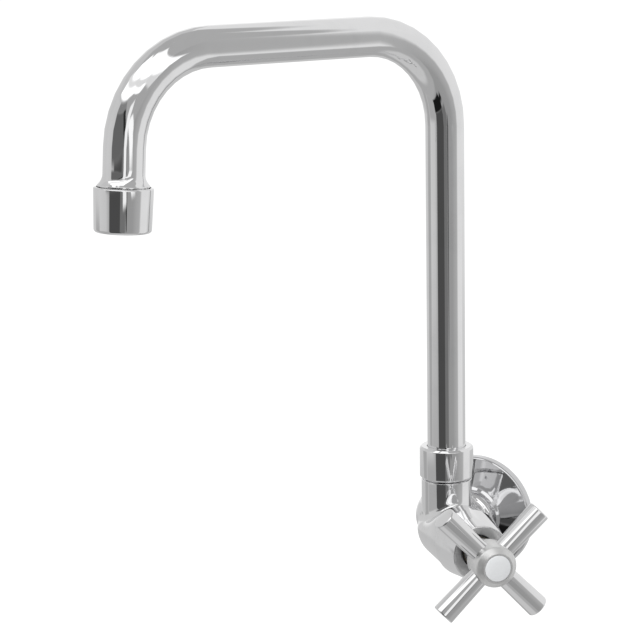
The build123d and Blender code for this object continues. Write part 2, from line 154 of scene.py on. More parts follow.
class FaucetSpoutSizes(bpy.types.PropertyGroup):
    """The bent tube and the nut on its foot."""

    tube_d: diameter("bent tube", 19.05)
    tube_wall: size("Tube wall", "Thickness of the bent tube's wall", 1.2)
    tube_foot: size("Tube foot", "Valve axis up to the tube's lower end", 21.0)
    arm_rise: size("Arm height", "Valve axis up to the arm's centreline", 246.5)
    reach: size("Reach", "Swivel axis to the corner over the outlet", 174.2)
    bend_radius: size("Bend radius", "Centreline radius of both bends", 44.8)
    outlet_lean: turn("Outlet lean", "Lean of the outlet leg, away from the neck", 3.7)
    outlet_leg: size("Outlet leg", "Corner over the outlet to the tube's end", 51.0)
    nut_edge: size("Nut chamfer", "Chamfer on the nut's outer corners", 1.0)
    nut_rounding: rounding("nut's chamfers", 0.45)
    nut_hole_d: diameter("hole in the nut's lip", 19.4)
    nut_lip: size("Nut lip", "Thickness of the nut's inward lip", 3.0)


class FaucetOutletSizes(bpy.types.PropertyGroup):
    """The turned end of the spout and the cap on it."""

    cove_start: size("Cove start", "Tube's end down to the cove's corner", 5.2)
    cove_radius: size("Cove radius", "Radius of the cove", 6.0)
    cove_d: diameter("cove's edge", 23.8)
    cove_height: size("Cove height", "Height of the coved part", 8.0)
    thread_d: diameter("thread under the cap", 22.0)
    thread_length: size("Thread length", "Length of the cap's thread", 9.6)
    thread_pitch: size("Thread pitch", "Pitch of the cap's thread", 1.0)
    cap_drop: size("Cap drop", "Tube's end down to the cap's top edge", 8.4)
    cap_height: size("Cap height", "Height of the cap", 20.1)
    cap_top_d: diameter("cap's top edge", 27.0)
    cap_bottom_d: diameter("cap's lower edge", 25.9)
    cap_mouth_d: diameter("cap's opening round the cove", 24.4)
    cap_lip_d: diameter("bore of the cap's lower lip", 19.4)
    cap_edge: rounding("cap's top edge", 0.8)


class FaucetCastingSizes(bpy.types.PropertyGroup):
    """The casting that joins the neck, the valve barrel and the inlet."""

    neck_d: diameter("neck", 25.2)
    neck_top: size("Neck height", "Valve axis up to the shoulder under the nut", 24.3)
    neck_thread_d: diameter("neck's thread", 23.6)
    neck_thread_length: size("Neck thread length", "Length of the neck's thread", 11.0)
    neck_bore_d: diameter("bore that the spout turns in", 19.17)
    ball_d: diameter("casting's round middle", 30.8)
    ball_rise: size("Ball height", "Valve axis up to the ball's centre", 3.6)
    ball_back: size("Ball setback", "Swivel axis to the ball's centre, wallwards", 4.4)
    ball_left: size("Ball to the left", "Swivel axis to the ball's centre, leftwards", 2.5)
    barrel_d: diameter("valve barrel", 32.6)
    barrel_length: size("Barrel length", "Swivel axis to the barrel's front face", 33.0)
    barrel_start: size("Barrel back", "Swivel axis to the middle of the barrel's round back", 5.0)
    barrel_root: size("Barrel root", "Valve axis up to the barrel's top, at the neck", 7.6)
    barrel_full: size("Barrel full", "Swivel axis to where the barrel is fully round", 24.0)
    waist_d: diameter("waist between the ball and the bead", 20.4)
    bead_d: diameter("round bead in the flange's collar", 25.4)
    bead_start: size("Bead start", "Wall to the bead's front", 13.6)
    bead_rounding: rounding("bead's front", 4.2)
    tail_d: diameter("thread into the wall", 20.955)
    tail_length: size("Tail length", "Length of the thread behind the wall's face", 16.0)
    tail_pitch: size("Tail pitch", "Pitch of that thread", 1.814)
    inlet_bore_d: diameter("inlet's bore", 13.0)
    neck_blend: rounding("corner between neck and ball", 7.0)
    barrel_blend: rounding("corner between neck and barrel", 4.0)
    waist_blend: rounding("corner between ball and waist", 3.5)
    bead_blend: rounding("corner between waist and bead", 1.6)
    mesh_step: size("Casting mesh", "Size of the casting's facets", 0.55)


class FaucetSleeveSizes(bpy.types.PropertyGroup):
    """The tapered sleeve round the headwork."""

    back_d: diameter("sleeve's back", 33.8)
    mouth_d: diameter("sleeve's mouth", 27.8)
    bore_d: diameter("sleeve's bore", 27.0)
    length: size("Length", "Barrel's front face to the sleeve's mouth", 19.2)
    seam: size("Seam", "Fine line between the barrel and the sleeve", 0.12)
    edge: rounding("mouth's outer edge", 0.5)
    seam_edge: rounding("edges beside the seam", 0.25)
    rim: size("Rim", "Width of the rim round the dished face", 0.6)
    hole_d: diameter("hole in the dished face", 16.6)
    dish_depth: size("Dish depth", "Rim back to the hole's front edge", 4.2)
    dish_wall: size("Dish wall", "Thickness of the dished face at its hole", 1.2)
    dish_edge: rounding("dished face's edges", 0.3)
    # The black ring behind the sleeve's hole is painted shadow in the gap round the hub's neck.
    shadow_ring_gap: size("Shadow ring gap", "Hub's neck to the black ring of painted shadow round it", 0.05)
    shadow_ring_height: size("Shadow ring height", "Height of that ring", 0.3)


class FaucetHandleSizes(bpy.types.PropertyGroup):
    """The cross handle, along the valve's axis."""

    cross_place: size("Cross place", "Swivel axis to the arms' axes", 66.4)
    cross_radius: size("Cross radius", "Hub's axis to an arm's end face", 34.0)
    arm_root_d: diameter("arms at the hub", 10.1)
    arm_tip_d: diameter("arms at their ends", 11.2)
    arm_start: turn("First arm", "First arm, round the valve axis from straight up", 44.0)
    arm_tip_edge: rounding("arms' ends", 0.7)
    arm_tip_crown: size("Arm crown", "Rise of an arm's end face", 0.12)
    hub_d: diameter("hub", 20.2)
    hub_neck_d: diameter("hub's neck", 14.4)
    hub_back: size("Hub back", "Arms' axes back to the hub's back face", 19.2)
    hub_taper_start: size("Taper start", "Arms' axes back to where the neck opens out", 13.6)
    hub_taper_end: size("Taper end", "Arms' axes back to the taper's front end", 6.0)
    hub_lip: size("Hub lip", "Hub's face round the button", 0.9)
    hub_front: size("Hub front", "Arms' axes forward to the hub's front edge", 9.8)
    hub_bevel: size("Hub bevel", "Depth of the hub's front bevel", 2.4)
    hub_recess: size("Hub recess", "Arms' axes forward to the recess's floor", 3.6)
    button_d: diameter("pale button", 12.9)
    button_crown: size("Button crown", "Rise of the button over the hub", 0.5)


class FaucetFlangeSizes(bpy.types.PropertyGroup):
    """The round flange on the wall."""

    outer_d: diameter("flange", 60.8)
    sheet: size("Sheet", "Thickness of the flange's metal", 1.2)
    rim: size("Rim depth", "Depth of the rim's side", 4.6)
    rim_rounding: rounding("rim's front edge", 1.6)
    crown: size("Crown", "Wall to the face, at the collar's foot", 8.0)
    foot_d: diameter("collar's foot", 31.0)
    collar_d: diameter("raised collar", 28.4)
    collar_front: size("Collar front", "Wall to the collar's front edge", 9.4)
    hole_d: diameter("hole round the casting's bead", 25.44)


class FaucetFinishes(bpy.types.PropertyGroup):
    """Colours and roughness of the finishes."""

    chrome: colour("Chrome", "Bright chrome plate", 0.86, 0.86, 0.865)
    # The flange's chrome is a darker copy of the bright chrome: painted shade on the flange.
    spun: colour("Flange chrome with painted shade", "Chrome of the flange, darkened as painted shade", 0.68, 0.68, 0.69)
    satin: colour("Satin chrome", "Brushed chrome of the hub", 0.83, 0.83, 0.825)
    brass: colour("Brass", "Turned brass", 0.72, 0.53, 0.25)
    steel: colour("Steel", "Bright screws and screen", 0.62, 0.62, 0.61)
    # The rubber also colours the black ring behind the sleeve's hole, which is painted shadow.
    rubber: colour("Rubber", "Seals, and the ring of painted shadow in the sleeve", 0.02, 0.02, 0.021)
    index: colour("Index plastic", "Pale button", 0.97, 0.985, 1.0)
    bearing: colour("Bearing plastic", "Bush and packing", 0.66, 0.65, 0.6)
    straightener: colour("Straightener plastic", "Insert in the outlet", 0.24, 0.245, 0.25)
    chrome_roughness: share("Chrome roughness", "Roughness of clean chrome", 0.035)
    satin_roughness: share("Satin roughness", "Roughness of the brushed hub", 0.34)


class FaucetStudio(bpy.types.PropertyGroup):
    """Camera, floor and lights."""

    camera_place: bpy.props.FloatVectorProperty(
        name="Camera place", description="Where the camera stands",
        default=(0.459628, -0.953575, 0.313080), subtype="TRANSLATION", unit="LENGTH",
    )
    camera_heading: turn("Camera heading", "Right of straight out from the wall", 30.1234)
    camera_height: turn("Camera height", "Above the level", 11.2525)
    camera_roll: turn("Camera roll", "Roll of the frame", -1.0034)
    lens: bpy.props.FloatProperty(
        name="Lens", description="Focal length for a 36 mm sensor", default=118.595, min=1, unit="CAMERA"
    )
    floor_drop: size("Floor", "Inlet axis down to the floor", 420)
    floor_radius: size("Floor radius", "Radius of the round floor", 60000)
    surround_radius: size("Surround", "Faucet to the wall and cards that it reflects", 6000)
    sky: share("Sky", "Strength of the light from all round", 0.75)


GROUPS = {
    "faucet_spout": FaucetSpoutSizes,
    "faucet_outlet": FaucetOutletSizes,
    "faucet_casting": FaucetCastingSizes,
    "faucet_sleeve": FaucetSleeveSizes,
    "faucet_handle": FaucetHandleSizes,
    "faucet_flange": FaucetFlangeSizes,
    "faucet_finishes": FaucetFinishes,
    "faucet_studio": FaucetStudio,
}


# Places --------------------


def place(origin, z_dir, x_dir):
    """Matrix of a frame whose Z points along z_dir, with X as near x_dir as it can be."""
    z_axis = Vector(z_dir).normalized()
    x_axis = Vector(x_dir)
    x_axis = (x_axis - z_axis * x_axis.dot(z_axis)).normalized()
    turned = Matrix((x_axis, z_axis.cross(x_axis), z_axis)).transposed()
    return Matrix.Translation(origin) @ turned.to_4x4()


def spout_heading():
    """Level direction of the spout's arm, from the swivel axis to the outlet."""
    over = middle("aerator_shell") - neck_foot
    over.z = 0
    return over.normalized()


def on_neck():
    """Frame on the swivel axis: Z up, X along the spout."""
    return place(neck_foot, upwards, spout_heading())


def on_valve():
    """Frame on the valve axis: Z out to the handle, X up."""
    return place(neck_foot, valve_heading, upwards)


def on_inlet():
    """Frame on the inlet axis: Z out of the wall."""
    return place(Vector((0, 0, 0)), -into_wall, sideways)


def outlet_corner(spout):
    """Corner of the tube's line over the outlet, and the way down from it, in the frame on the neck."""
    down = Vector((sin(spout.outlet_lean), 0, -cos(spout.outlet_lean)))
    return Vector((spout.reach, 0, spout.arm_rise)), down


def on_outlet():
    """Frame on the outlet axis: Z down the outlet, from the corner over it."""
    corner, down = outlet_corner(bpy.context.scene.faucet_spout)
    return on_neck() @ place(corner, down, into_wall)


# Mesh making --------------------


def rounded(corners, closed=True):
    """Outline through corners (radius, height) or (radius, height, rounding), roundings as arcs."""
    points = [Vector(corner[:2]) for corner in corners]
    outline = []
    for index, corner in enumerate(corners):
        point = points[index]
        inner = closed or 0 < index < len(corners) - 1
        if len(corner) < 3 or not inner:
            outline.append(point)
            continue
        before = (points[index - 1] - point).normalized()
        after = (points[(index + 1) % len(points)] - point).normalized()
        half = acos(max(-1, min(1, before.dot(after)))) / 2
        centre = point + (before + after).normalized() * (corner[2] / sin(half))
        first = point + before * (corner[2] / tan(half)) - centre
        last = point + after * (corner[2] / tan(half)) - centre
        sweep = first.angle_signed(last) * -1
        steps = max(2, round(abs(sweep) / ARC_STEP))
        for step in range(steps + 1):
            angle = sweep * step / steps
            outline.append(centre + Matrix.Rotation(angle, 2) @ first)
    return outline


def add_object(name, data, where):
    """Object in the scene, at its place."""
    thing = bpy.data.objects.new(name, data)
    bpy.context.scene.collection.objects.link(thing)
    thing.matrix_world = where
    return thing


def mesh_piece(name, vertices, faces, where, own_axes=False):
    """Object with crisp edges and smooth faces, which keeps its own axes or takes the frame's."""
    mesh = bpy.data.meshes.new(name)
    mesh.from_pydata([tuple(vertex) for vertex in vertices], [], faces)
    shape = bmesh.new()
    shape.from_mesh(mesh)
    bmesh.ops.remove_doubles(shape, verts=shape.verts, dist=SAME_PLACE)
    bmesh.ops.recalc_face_normals(shape, faces=shape.faces)
    shape.to_mesh(mesh)
    shape.free()
    mesh.shade_smooth()
    mesh.set_sharp_from_angle(angle=SHARP_ANGLE)
    if own_axes:
        return add_object(name, mesh, where)
    mesh.transform(where)
    return add_object(name, mesh, Matrix.Identity(4))


def ring_faces(rows, columns, closed):
    """Quads of a grid whose columns close on themselves, and its rows too when closed."""
    faces = []
    for row in range(rows if closed else rows - 1):
        start = row * columns
        above = (row + 1) % rows * columns
        for column in range(columns):
            beside = (column + 1) % columns
            faces.append((start + column, start + beside, above + beside, above + column))
    return faces


def lathe(name, corners, where, columns=144, closed=True, own_axes=False):
    """Turned piece from an outline of corners."""
    outline = rounded(corners, closed)
    angles = [2 * pi * column / columns for column in range(columns)]
    vertices = [(p.x * cos(a), p.x * sin(a), p.y) for p in outline for a in angles]
    return mesh_piece(name, vertices, ring_faces(len(outline), columns, closed), where, own_axes)


def circles(line, radius, columns):
    """Vertices of circles round a line in the XZ plane, from its start to its end."""
    vertices = []
    for index, point in enumerate(line):
        before = line[max(index - 1, 0)]
        after = line[min(index + 1, len(line) - 1)]
        along = (after - before).normalized()
        across = Vector((along.y, -along.x))
        for column in range(columns):
            angle = 2 * pi * column / columns
            out = across * (radius * cos(angle))
            vertices.append((point.x + out.x, radius * sin(angle), point.y + out.y))
    return vertices


def threaded(name, where, crest_d, pitch, start, end, bore_d, bore_floor, columns=96):
    """Hollow threaded end: a helical thread outside, a turned-down tip and a plain blind bore."""
    depth = THREAD_DEPTH * pitch
    rows = max(2, round((end - start) / pitch * THREAD_ROWS))
    heights = np.linspace(start, end, rows)
    angles = np.arange(columns) * 2 * pi / columns
    phase = heights[:, None] / pitch - angles[None, :] / (2 * pi)
    radius = crest_d / 2 - depth * (0.5 - 0.5 * np.cos(2 * pi * phase)) ** THREAD_FLATNESS
    turned_down = crest_d / 2 - depth + np.minimum(end - heights, heights - start + depth)[:, None]
    rings = list(zip(np.minimum(radius, turned_down), heights))
    bore = bore_d / 2
    for inner, height in (
        (bore + depth / 2, end), (bore, end - depth / 2), (bore, bore_floor), (0, bore_floor),
    ):
        rings.append((np.full(columns, inner), height))
    vertices = []
    for radii, height in rings:
        vertices += [(r * cos(a), r * sin(a), height) for r, a in zip(radii, angles)]
    return mesh_piece(name, vertices, ring_faces(len(rings), columns, False), where)


def surface_net(distance, low, high, step):
    """Vertices and quads round the space where distance() is below zero."""
    axes = [np.arange(low[i], high[i] + step, step) for i in range(3)]
    grid = np.stack(np.meshgrid(*axes, indexing="ij"), -1)
    value = distance(grid)
    cells = tuple(count - 1 for count in value.shape)
    total = np.zeros(cells + (3,))
    hits = np.zeros(cells)
    crossings = []
    for axis in range(3):
        ahead = np.moveaxis(value, axis, 0)
        here, there = ahead[:-1], ahead[1:]
        crosses = (here < 0) != (there < 0)
        spread = np.where(crosses, here - there, 1)
        point = np.moveaxis(grid, axis, 0)[:-1].copy()
        point[..., axis] += np.where(crosses, here / spread, 0) * step
        point *= crosses[..., None]
        total_ahead = np.moveaxis(total, axis, 0)
        hits_ahead = np.moveaxis(hits, axis, 0)
        rows, columns = crosses.shape[1:]
        for i in (0, 1):
            for j in (0, 1):
                window = slice(None), slice(i, i + rows - 1), slice(j, j + columns - 1)
                total_ahead += point[window]
                hits_ahead += crosses[window]
        crossings.append(crosses)
    used = hits > 0
    number = np.full(cells, -1)
    number[used] = np.arange(used.sum())
    vertices = total[used] / hits[used][:, None]
    faces = []
    for axis, crosses in enumerate(crossings):
        ahead = np.moveaxis(number, axis, 0)
        inner = crosses[:, 1:-1, 1:-1]
        less, more = slice(None, -1), slice(1, None)
        corners = ((less, less), (more, less), (more, more), (less, more))
        faces += np.stack([ahead[:, row, column][inner] for row, column in corners], -1).tolist()
    return vertices, faces


def settle(vertices, distance, step):
    """Move vertices onto the surface where distance() is zero."""
    nudge = step / 100
    least_slope = 0.5
    for _ in range(4):
        value = distance(vertices)
        slope = np.stack([(distance(vertices + nudge * way) - value) / nudge for way in np.eye(3)], -1)
        steepness = np.maximum((slope ** 2).sum(-1), least_slope ** 2)
        vertices = vertices - slope * (value / steepness)[:, None]
    return vertices


def unit(direction):
    """Directions at length 1."""
    return direction / np.maximum(np.linalg.norm(direction, axis=-1, keepdims=True), TINY)


def joined(first, second, radius):
    """Two shapes, each (distance, way out of it), run into each other with a fillet."""
    (near, near_way), (far, far_way) = first, second
    half_turn = np.sqrt(np.clip((1 + (near_way * far_way).sum(-1)) / 2, 0, 1))
    blend = 4 * radius * (1 - half_turn) + TINY
    overlap = np.maximum(blend - np.abs(near - far), 0) / blend
    far_share = np.where(near < far, overlap / 2, 1 - overlap / 2)[..., None]
    way = unit(near_way * (1 - far_share) + far_way * far_share)
    return np.minimum(near, far) - overlap ** 2 * blend / 4, way


def trimmed(piece, origin, direction):
    """Cut away what lies past a plane, in the piece's own frame."""
    shape = bmesh.new()
    shape.from_mesh(piece.data)
    everything = list(shape.verts) + list(shape.edges) + list(shape.faces)
    bmesh.ops.bisect_plane(shape, geom=everything, plane_co=origin, plane_no=direction, clear_outer=True)
    shape.to_mesh(piece.data)
    shape.free()


# Nodes --------------------


def feed(tree, node, inputs):
    """Give a node its inputs, each a value or another node's output."""
    for name, value in inputs.items():
        if isinstance(value, bpy.types.NodeSocket):
            tree.links.new(value, node.inputs[name])
        else:
            node.inputs[name].default_value = value


def add_node(tree, kind, inputs=None, **settings):
    """Outputs of a new node with these settings and inputs."""
    node = tree.nodes.new("ShaderNode" + kind)
    for name, value in settings.items():
        setattr(node, name, value)
    feed(tree, node, inputs or {})
    return node.outputs


def calculate(tree, operation, *values):
    """Math node on outputs or numbers."""
    return add_node(tree, "Math", dict(enumerate(values)), operation=operation)[0]


def noise(tree, coordinates, scale, detail, distortion=0.0):
    """Noise on coordinates."""
    inputs = {"Vector": coordinates, "Scale": scale, "Detail": detail, "Distortion": distortion}
    return add_node(tree, "TexNoise", inputs)["Fac"]


def between(tree, mask, low, high):
    """Value from low to high as the mask goes from 0 to 1."""
    return add_node(tree, "MapRange", {"Value": mask, "To Min": low, "To Max": high})["Result"]


def mixed(tree, mask, clean, marked, label=""):
    """Colour from clean to marked as the mask goes from 0 to 1."""
    inputs = {"Factor": mask, "A": clean, "B": marked}
    return add_node(tree, "Mix", inputs, data_type="RGBA", label=label)["Result"]


def shader_group(name, inputs, outputs):
    """New group, with its inputs as it sees them and the sockets that its results go to."""
    group = bpy.data.node_groups.new(name, "ShaderNodeTree")
    for label, default in inputs.items():
        socket = group.interface.new_socket(label, in_out="INPUT", socket_type="NodeSocketFloat")
        socket.default_value = default
    for label in outputs:
        group.interface.new_socket(label, in_out="OUTPUT", socket_type="NodeSocketFloat")
    return group, group.nodes.new("NodeGroupInput").outputs, group.nodes.new("NodeGroupOutput").inputs


def polishing_group():
    """Soft waves that a polishing wheel leaves, and finer orange peel of the plating."""
    values = {"Wave scale": 60.0, "Peel scale": 900.0, "Peel share": 0.04}
    group, given, result = shader_group("polishing waves", values, ["Height"])
    where = add_node(group, "TexCoord")["Object"]
    waves = noise(group, where, given["Wave scale"], detail=1.5)
    peel = noise(group, where, given["Peel scale"], detail=2.0)
    fine = calculate(group, "MULTIPLY", peel, given["Peel share"])
    group.links.new(calculate(group, "ADD", waves, fine), result["Height"])
    return group


def handling_group():
    """Mask of faint finger marks, dried water and wiping streaks."""
    group, given, result = shader_group("handling marks", {"Scale": 45.0, "Amount": 0.5}, ["Mask"])
    where = add_node(group, "TexCoord")["Object"]
    clean, dull, streaks_a_patch = 0.48, 0.72, 9.0
    patches = noise(group, where, given["Scale"], detail=4.0, distortion=0.6)
    streak_scale = calculate(group, "MULTIPLY", given["Scale"], streaks_a_patch)
    streaks = noise(group, where, streak_scale, detail=3.0, distortion=1.5)
    spread = add_node(group, "MapRange", {"Value": patches, "From Min": clean, "From Max": dull})
    marks = calculate(group, "MULTIPLY", spread["Result"], streaks)
    group.links.new(calculate(group, "MULTIPLY", marks, given["Amount"]), result["Mask"])
    return group


def turning_group():
    """Fine rings that a lathe tool or a brush leaves round the piece's own axis."""
    values = {"Pitch scale": 6000.0, "Break-up": 40.0}
    group, given, result = shader_group("turning rings", values, ["Height", "Mask"])
    change_round = 1.5
    where = add_node(group, "TexCoord")["Object"]
    parts = add_node(group, "SeparateXYZ", {"Vector": where})
    squares = [calculate(group, "POWER", parts[axis], 2.0) for axis in "XY"]
    radius = calculate(group, "SQRT", calculate(group, "ADD", *squares))
    angle = calculate(group, "ARCTAN2", parts["Y"], parts["X"])
    lines = add_node(group, "CombineXYZ", {
        "X": calculate(group, "MULTIPLY", radius, given["Pitch scale"]),
        "Y": calculate(group, "MULTIPLY", parts["Z"], given["Pitch scale"]),
        "Z": calculate(group, "MULTIPLY", angle, change_round),
    })
    rings = noise(group, lines["Vector"], scale=1.0, detail=3.0)
    patches = noise(group, where, given["Break-up"], detail=2.0)
    group.links.new(rings, result["Height"])
    group.links.new(calculate(group, "MULTIPLY", rings, patches), result["Mask"])
    return group


# Materials --------------------


def surface(name):
    """New material with its tree and its surface shader."""
    material = bpy.data.materials.new(name)
    material.use_nodes = True
    return material, material.node_tree, material.node_tree.nodes["Principled BSDF"]


def worn(tree, shader, mask, tone, roughness, dark, rougher):
    """Surface whose tone is multiplied by dark, and which is rougher, where the mask is 1."""
    marked = [channel * dark for channel in tone]
    feed(tree, shader, {
        "Base Color": mixed(tree, mask, (*tone, 1), (*marked, 1)),
        "Roughness": between(tree, mask, roughness, roughness + rougher),
    })


def raised(tree, shader, height, depth):
    """Relief of a surface."""
    relief = add_node(tree, "Bump", {"Strength": 1.0, "Distance": depth, "Height": height})
    tree.links.new(relief["Normal"], shader.inputs["Normal"])


def plated(name, groups, tone, roughness, waves, marks, wave_scale=60.0):
    """Bright plate: soft polishing waves, faint peel, and marks that dull it a little."""
    material, tree, shader = surface(name)
    shader.inputs["Metallic"].default_value = 1.0
    polish = add_node(tree, "Group", node_tree=groups["polishing"], inputs={"Wave scale": wave_scale})
    handled = add_node(tree, "Group", node_tree=groups["handling"], inputs={"Amount": marks})
    worn(tree, shader, handled["Mask"], tone, roughness, dark=0.8, rougher=0.16)
    raised(tree, shader, polish["Height"], waves)
    return material


def turned_metal(name, groups, tone, roughness, ring_depth, metallic=1.0):
    """Metal with fine turning rings."""
    material, tree, shader = surface(name)
    shader.inputs["Metallic"].default_value = metallic
    rings = add_node(tree, "Group", node_tree=groups["turning"])
    worn(tree, shader, rings["Mask"], tone, roughness, dark=0.7, rougher=0.25)
    raised(tree, shader, rings["Height"], ring_depth)
    return material


def moulded(name, groups, tone, roughness, grain_depth, grain_scale, coat=0.0):
    """Plastic or rubber with a fine moulded grain."""
    material, tree, shader = surface(name)
    feed(tree, shader, {"Metallic": 0.0, "Coat Weight": coat})
    scales = {"Wave scale": grain_scale, "Peel scale": grain_scale * 6}
    grain = add_node(tree, "Group", node_tree=groups["polishing"], inputs=scales)
    handled = add_node(tree, "Group", node_tree=groups["handling"], inputs={"Amount": 0.6})
    worn(tree, shader, handled["Mask"], tone, roughness, dark=0.86, rougher=0.2)
    raised(tree, shader, grain["Height"], grain_depth)
    return material


def make_materials(look):
    """Every finish of the faucet, by the record's slot or a name of its own."""
    groups = {"polishing": polishing_group(), "handling": handling_group(), "turning": turning_group()}
    smooth = look.chrome_roughness
    grain = {"grain_depth": 0.02 * MM, "grain_scale": 900.0}
    return {
        "chrome": plated("bright chrome", groups, look.chrome, smooth, waves=0.02 * MM, marks=0.5),
        "cast_chrome": plated(
            "chrome on the casting", groups, look.chrome, smooth, waves=0.16 * MM, marks=0.7, wave_scale=75.0
        ),
        # Darker copy of the chrome for the flange: painted shade.
        "spun_chrome": plated(
            "chrome on spun sheet", groups, look.spun, smooth, waves=0.12 * MM, marks=0.5, wave_scale=55.0
        ),
        "satin_chrome": turned_metal(
            "satin chrome", groups, look.satin, look.satin_roughness, ring_depth=0.004 * MM, metallic=0.85
        ),
        "brass": turned_metal("turned brass", groups, look.brass, 0.2, ring_depth=0.006 * MM),
        "steel": turned_metal("bright steel", groups, look.steel, 0.22, ring_depth=0.004 * MM),
        "rubber": moulded("rubber of seals and the painted shadow ring", groups, look.rubber, 0.5, **grain),
        "white_plastic": moulded(
            "index plastic", groups, look.index, 0.16, grain_depth=0.008 * MM, grain_scale=400.0, coat=0.3
        ),
        "pale_plastic": moulded("bearing plastic", groups, look.bearing, 0.42, **grain),
        "grey_plastic": moulded("straightener plastic", groups, look.straightener, 0.38, **grain),
    }


def paint(piece, material):
    """Give a piece its one material."""
    piece.data.materials.clear()
    piece.data.materials.append(material)


def finished(piece, body, slot, material, *nodes):
    """Give a piece its material and its body, and hide the nodes that it stands for; the slot is not used."""
    paint(piece, bpy.data.materials[material])
    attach(piece, body)
    if nodes:
        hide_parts(*nodes)


def turned(name, corners, where, body, slot, material, *nodes, **shape):
    """Turn a piece on the lathe and finish it."""
    finished(lathe(name, corners, where, **shape), body, slot, material, *nodes)


# Pieces --------------------


class FAUCET_OT_finishes(bpy.types.Operator):
    """Make the finishes, and give the carried-over nodes theirs"""

    bl_idname = "faucet.finishes"
    bl_label = "Finishes"
    bl_options = UNDOABLE

    def execute(self, context):
        materials = make_materials(context.scene.faucet_finishes)
        for part in frame["record"]["subparts"]:
            paint(frame["nodes"][part["node"]], materials[part["material_slot"]])
        return {"FINISHED"}


class FAUCET_OT_tube(bpy.types.Operator):
    """Bend the spout's tube"""

    bl_idname = "faucet.tube"
    bl_label = "Spout tube"
    bl_options = UNDOABLE

    def execute(self, context):
        sizes = context.scene.faucet_spout
        corner, down = outlet_corner(sizes)
        line = rounded([
            (0, sizes.tube_foot),
            (0, sizes.arm_rise, sizes.bend_radius),
            (sizes.reach, sizes.arm_rise, sizes.bend_radius),
            tuple((corner + down * sizes.outlet_leg).xz),
        ], closed=False)
        outer = circles(line, sizes.tube_d / 2, TUBE_COLUMNS)
        inner = circles(line, sizes.tube_d / 2 - sizes.tube_wall, TUBE_COLUMNS)[::-1]
        faces = ring_faces(2 * len(line), TUBE_COLUMNS, True)
        tube = mesh_piece("spout_tube_polished", outer + inner, faces, on_neck())
        finished(tube, "spout", "chrome", "bright chrome", "spout_tube")
        return {"FINISHED"}


class FAUCET_OT_nut(bpy.types.Operator):
    """Turn the collar nut"""

    bl_idname = "faucet.nut"
    bl_label = "Collar nut"
    bl_options = UNDOABLE

    def execute(self, context):
        sizes = context.scene.faucet_spout
        low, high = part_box("collar_nut")
        radius = (high.x - low.x) / 2
        base = low.z - neck_foot.z
        top = high.z - neck_foot.z
        hole = sizes.nut_hole_d / 2
        edge = sizes.nut_edge
        hole_edge = edge / 5
        thread = context.scene.faucet_casting.neck_thread_d / 2
        corners = [
            (thread, base),
            (radius - edge, base),
            (radius, base + edge, sizes.nut_rounding),
            (radius, top - edge, sizes.nut_rounding),
            (radius - edge, top, sizes.nut_rounding),
            (hole + hole_edge, top),
            (hole, top - hole_edge),
            (hole, top - sizes.nut_lip),
            (thread, top - sizes.nut_lip),
        ]
        turned("collar_nut_turned", corners, on_neck(), "root", "chrome", "bright chrome", "collar_nut")
        return {"FINISHED"}


class FAUCET_OT_outlet(bpy.types.Operator):
    """Turn the outlet's coved end and the cap on it"""

    bl_idname = "faucet.outlet"
    bl_label = "Outlet"
    bl_options = UNDOABLE

    def execute(self, context):
        sizes = context.scene.faucet_outlet
        spout = context.scene.faucet_spout
        tube = spout.tube_d / 2
        leg = spout.outlet_leg
        widest = sizes.cove_d / 2
        corner = leg + sizes.cove_start
        bottom = leg + sizes.cove_height
        bore = tube - 2 * spout.tube_wall
        cove = [
            (bore, leg),
            (tube, leg),
            (tube, corner, sizes.cove_radius),
            (widest, corner + widest - tube, CRISP),
            (widest, bottom),
            (bore, bottom),
        ]
        turned("outlet_cove", cove, on_outlet(), "spout", "chrome", "bright chrome", "outlet_ferrule")
        thread = threaded(
            "outlet_thread", on_outlet(), sizes.thread_d, sizes.thread_pitch, bottom,
            bottom + sizes.thread_length, 2 * bore, leg,
        )
        finished(thread, "spout", "chrome", "bright chrome")
        top = leg + sizes.cap_drop
        end = top + sizes.cap_height
        lip = sizes.cap_lip_d / 2
        lip_edge = 0.6 * MM
        wall = 1.6 * MM
        cap = [
            (sizes.cap_mouth_d / 2, top),
            (sizes.cap_top_d / 2, top, sizes.cap_edge),
            (sizes.cap_bottom_d / 2, end, 2 * sizes.cap_edge),
            (lip + lip_edge, end, CRISP),
            (lip, end - lip_edge),
            (lip, end - wall),
            (sizes.thread_d / 2, end - wall),
            (sizes.thread_d / 2, top + wall),
            (sizes.cap_mouth_d / 2, top + wall),
        ]
        turned("aerator_cap", cap, on_outlet(), "spout", "chrome", "bright chrome", "aerator_shell")
        return {"FINISHED"}


